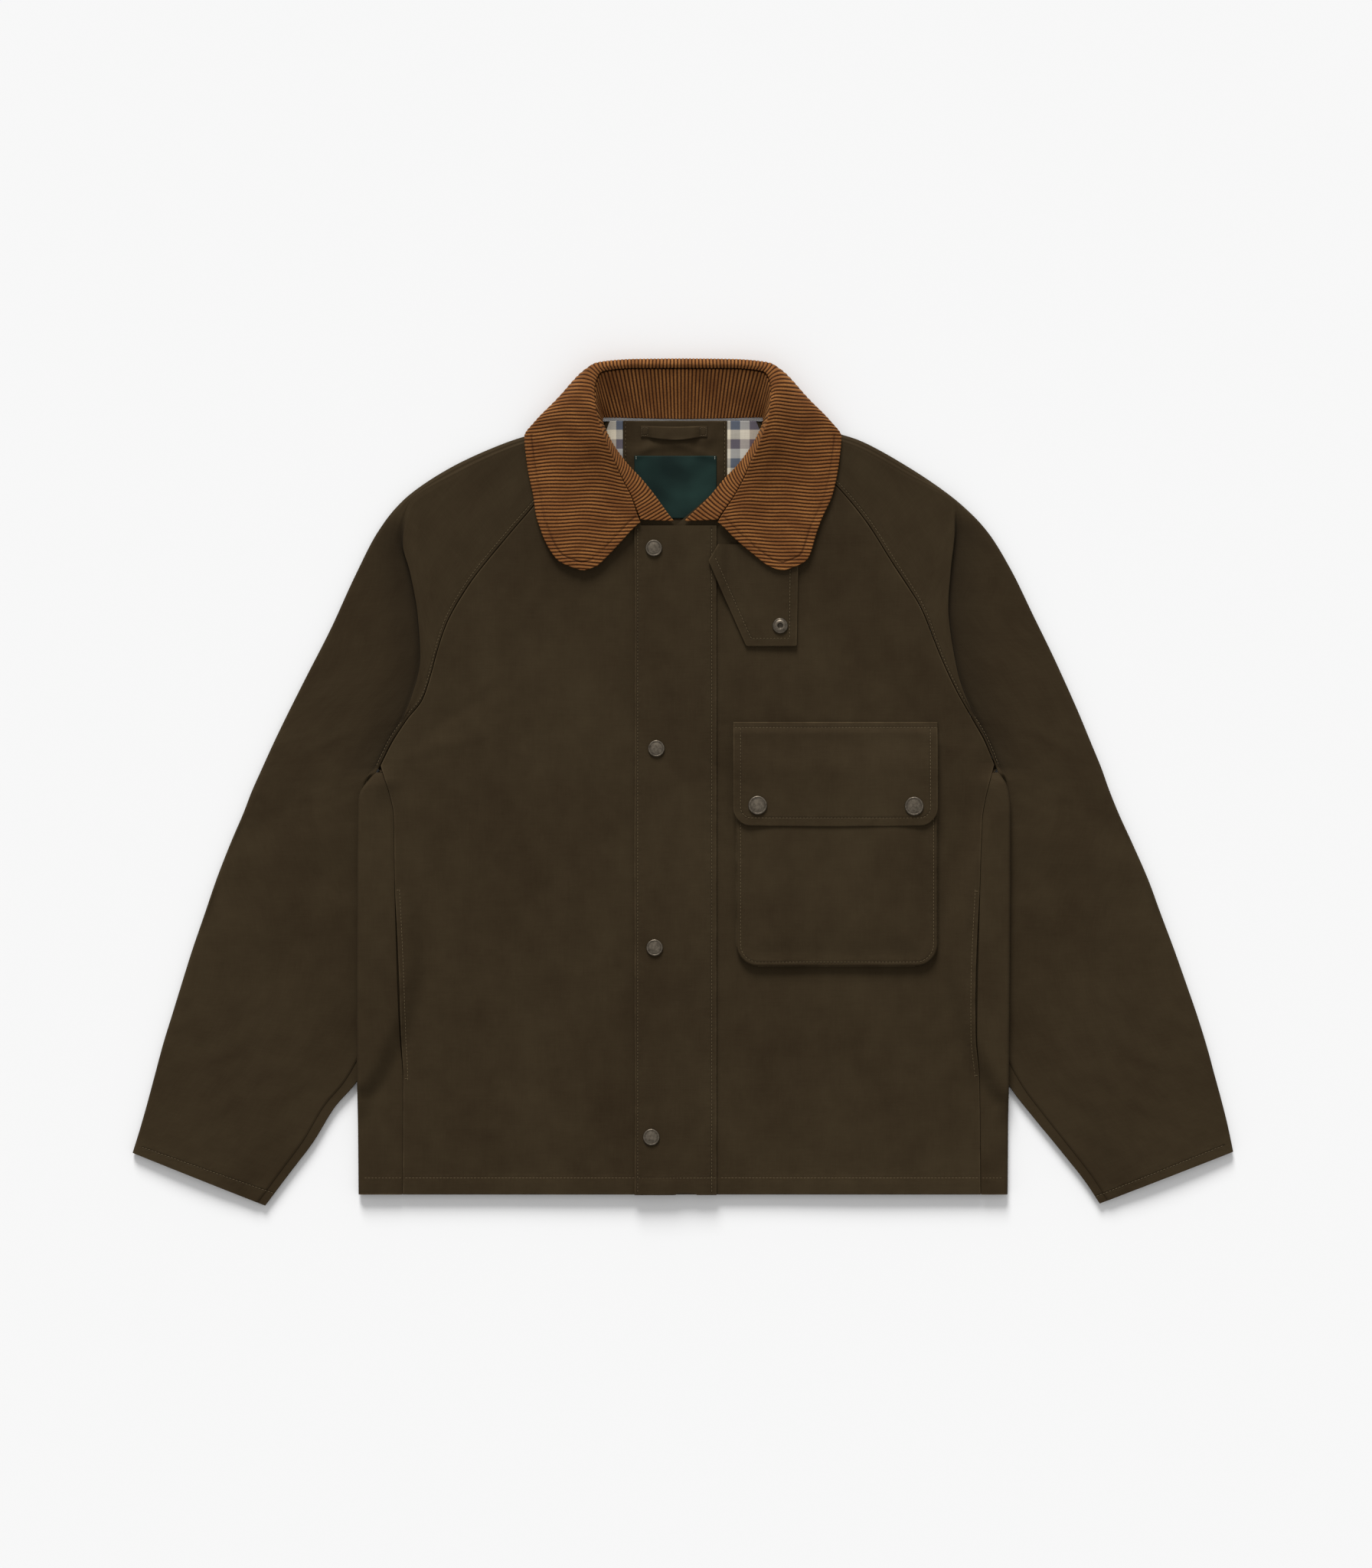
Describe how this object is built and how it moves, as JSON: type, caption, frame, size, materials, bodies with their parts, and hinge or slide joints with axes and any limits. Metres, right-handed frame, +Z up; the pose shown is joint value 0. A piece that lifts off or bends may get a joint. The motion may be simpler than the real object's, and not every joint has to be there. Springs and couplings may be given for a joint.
{
  "type": "waxed cotton jacket",
  "caption": "Short waxed cotton jacket laid flat, with raglan sleeves, a corduroy collar, a snap-fastened storm flap, a throat tab and a flapped bellows chest pocket.",
  "frame": {"origin": "on the underside that lies on the surface, in the middle of the jacket's outline", "axes": "+X across the body towards the wearer's left sleeve, +Y from the hem towards the collar, +Z up, out of the front"},
  "size_m": [0.993, 0.7634, 0.0346],
  "materials": {
    "waxed_cotton": "dark olive-brown waxed cotton, fine plain weave with a soft wax sheen",
    "corduroy": "golden-brown cotton corduroy, matt pile in raised wales",
    "check_lining": "woven cotton check in cream, slate and brown",
    "label_cloth": "dark green satin-woven patch, bare",
    "antique_brass": "antique grey-bronze snaps with worn rims"
  },
  "bodies": {
    "root": {"back": "waxed_cotton", "front_left": "waxed_cotton", "front_right": "waxed_cotton", "sleeve_left": "waxed_cotton", "sleeve_right": "waxed_cotton", "storm_flap": "waxed_cotton", "chest_pocket": "waxed_cotton", "pocket_flap": "waxed_cotton", "throat_tab": "waxed_cotton", "snap_1": "antique_brass", "snap_2": "antique_brass", "snap_3": "antique_brass", "snap_4": "antique_brass", "flap_snap_1": "antique_brass", "flap_snap_2": "antique_brass", "tab_socket": "antique_brass", "back_yoke": "waxed_cotton", "lining_left": "check_lining", "lining_right": "check_lining", "neck_label": "label_cloth", "hanger_loop": "waxed_cotton", "collar_stand": "corduroy", "collar_leaf": "corduroy"}
  },
  "joints": []
}
